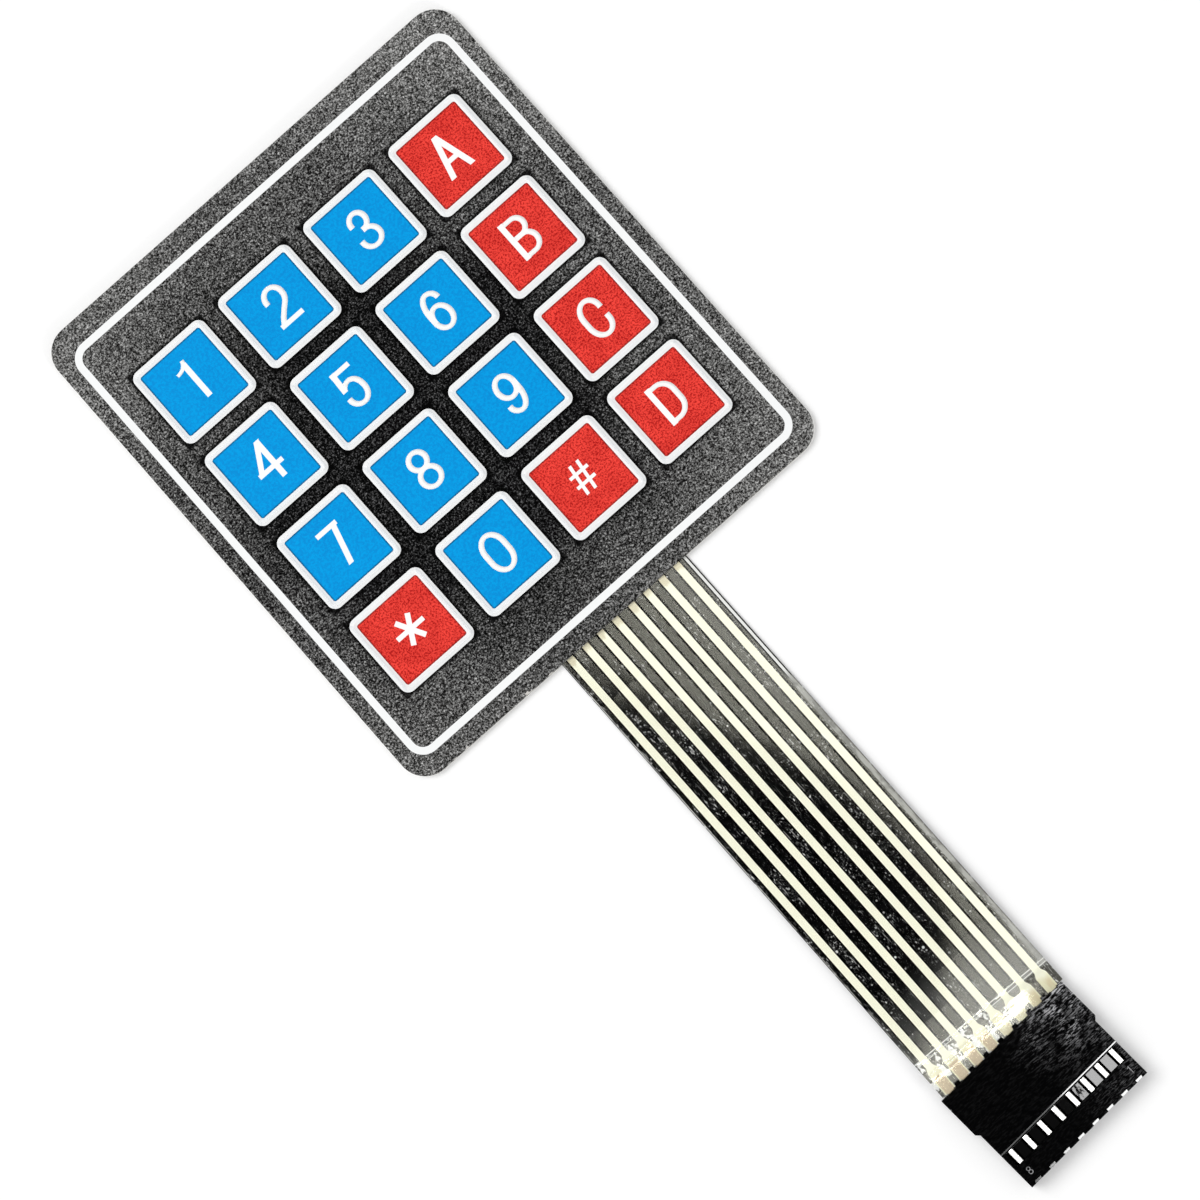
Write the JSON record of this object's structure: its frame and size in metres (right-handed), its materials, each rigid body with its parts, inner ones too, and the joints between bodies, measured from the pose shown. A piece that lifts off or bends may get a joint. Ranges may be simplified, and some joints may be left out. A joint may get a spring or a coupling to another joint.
{
  "type": "membrane keypad",
  "caption": "Thin membrane keypad with blue and red printed keys on a black film, a flat striped tail and a black socket connector",
  "frame": {"origin": "centre of the pad's back, on the face of the release liner", "axes": "+Z out of the keys, +Y towards the top row of keys, +X towards the column of letter keys; the tail leaves towards -Y"},
  "size_m": [0.069, 0.1645, 0.003],
  "materials": {
    "black_overlay": "fine matte grain",
    "white_print": "satin print",
    "blue_print": "satin print",
    "red_print": "satin print",
    "adhesive": "clear adhesive",
    "clear_film": "clear gloss film",
    "conductor_ink": "printed conductor ink",
    "black_film": "gloss film",
    "liner_paper": "smooth release paper",
    "black_housing": "fine moulded texture",
    "tin_plate": "bright tin plate"
  },
  "bodies": {
    "root": {"overlay_film": "black_overlay", "border_print": "white_print", "key_frame_prints": "white_print", "blue_key_prints": "blue_print", "red_key_prints": "red_print", "overlay_adhesive": "adhesive", "rear_adhesive": "adhesive", "upper_circuit_film": "clear_film", "spacer": "clear_film", "column_tracks": "conductor_ink", "row_tracks": "conductor_ink", "lower_circuit_film": "black_film", "release_liner": "liner_paper", "connector_housing": "black_housing", "contact_1": "tin_plate", "contact_2": "tin_plate", "contact_3": "tin_plate", "contact_4": "tin_plate", "contact_5": "tin_plate", "contact_6": "tin_plate", "contact_7": "tin_plate", "contact_8": "tin_plate"}
  },
  "joints": []
}
